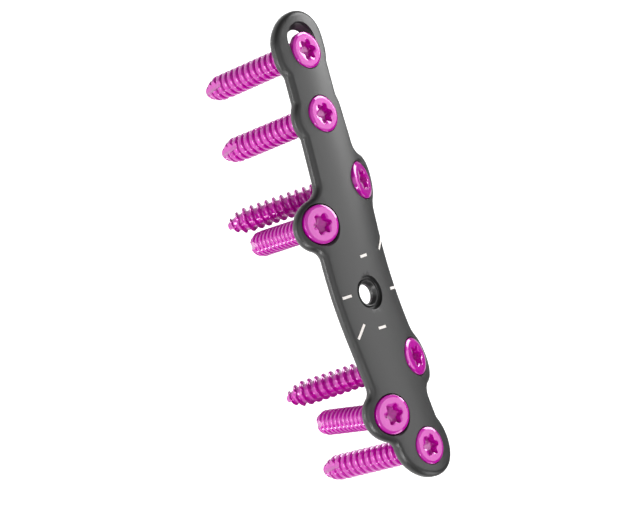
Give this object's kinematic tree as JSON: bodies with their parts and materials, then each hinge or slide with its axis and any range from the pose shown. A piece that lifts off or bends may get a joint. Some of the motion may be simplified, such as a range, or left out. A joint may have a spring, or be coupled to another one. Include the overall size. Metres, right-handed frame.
{
  "type": "orthopedic bone plate with screws",
  "caption": "Curved low-profile bone plate with lobed edge, slot and stepped centre hole, with bone screws seated in its countersunk holes.",
  "frame": {"origin": "on the axis of the centre hole, at the plate's bone side", "axes": "+Z away from the bone, out of the screw heads; +Y along the plate towards the slot; +X across it"},
  "size_m": [0.017, 0.0651, 0.021],
  "materials": {
    "plate_finish": "satin dark grey anodised",
    "screw_finish": "bright magenta anodised"
  },
  "bodies": {
    "root": {"plate": "plate_finish", "slot_screw": "screw_finish", "upper_neck_screw": "screw_finish", "upper_coarse_screw": "screw_finish", "upper_locking_screw": "screw_finish", "lower_coarse_screw": "screw_finish", "lower_locking_screw": "screw_finish", "end_screw": "screw_finish"}
  },
  "joints": []
}
